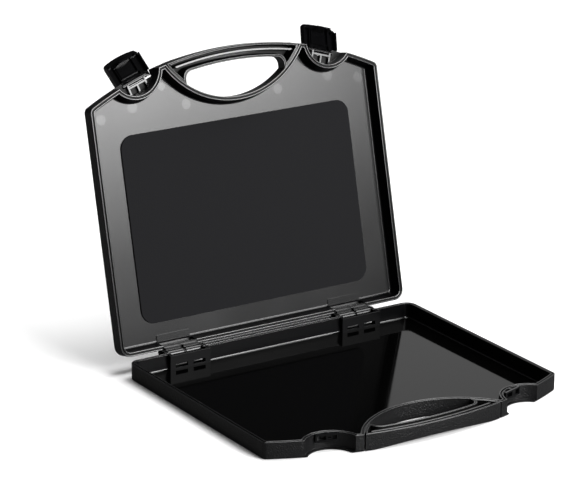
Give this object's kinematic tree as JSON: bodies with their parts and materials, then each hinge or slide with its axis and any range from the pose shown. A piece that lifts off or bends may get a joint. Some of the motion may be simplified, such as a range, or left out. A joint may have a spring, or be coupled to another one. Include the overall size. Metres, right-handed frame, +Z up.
{
  "type": "laptop hard case",
  "caption": "Shallow hinged hard case for a laptop, with a bowed front, a handle formed by both halves and fold-over latches beside it.",
  "frame": {"origin": "middle of the flat underside", "axes": "+X along the hinge to the right as seen from the front, +Y to the rear, +Z up"},
  "size_m": [0.38, 0.4402, 0.3363],
  "materials": {
    "shell_black": "gloss black moulded plastic, fine texture outside",
    "latch_black": "gloss black moulded plastic",
    "pin_steel": "drawn steel wire",
    "pad_foam": "matt dark grey foam sheet"
  },
  "bodies": {
    "base": {"base_shell": "shell_black", "grip_base": "shell_black", "catch_left": "latch_black", "catch_right": "latch_black", "hinge_pin_left": "pin_steel", "hinge_pin_right": "pin_steel"},
    "lid": {"lid_shell": "shell_black", "grip_lid": "shell_black", "lid_pad": "pad_foam", "hinge_leaf_left": "shell_black", "hinge_leaf_right": "shell_black", "latch_bracket_left": "latch_black", "latch_bracket_right": "latch_black", "latch_pin_left": "pin_steel", "latch_pin_right": "pin_steel"},
    "left_latch": {"latch_flap_left": "latch_black", "latch_hook_left": "latch_black"},
    "right_latch": {"latch_flap_right": "latch_black", "latch_hook_right": "latch_black"}
  },
  "joints": [
    {"name": "lid_hinge", "type": "hinge", "parent": "base", "child": "lid", "pos_m": [0, 0.1669, 0.0146], "axis": [1, 0, 0], "range_deg": [0, 103.5]},
    {"name": "left_latch_hinge", "type": "hinge", "parent": "lid", "child": "left_latch", "pos_m": [-0.1234, 0.25675, 0.30661], "axis": [0.9537, 0.0702, 0.2923], "range_deg": [0, 110]},
    {"name": "right_latch_hinge", "type": "hinge", "parent": "lid", "child": "right_latch", "pos_m": [0.1234, 0.25675, 0.30661], "axis": [0.9537, -0.0702, -0.2923], "range_deg": [0, 110]}
  ]
}
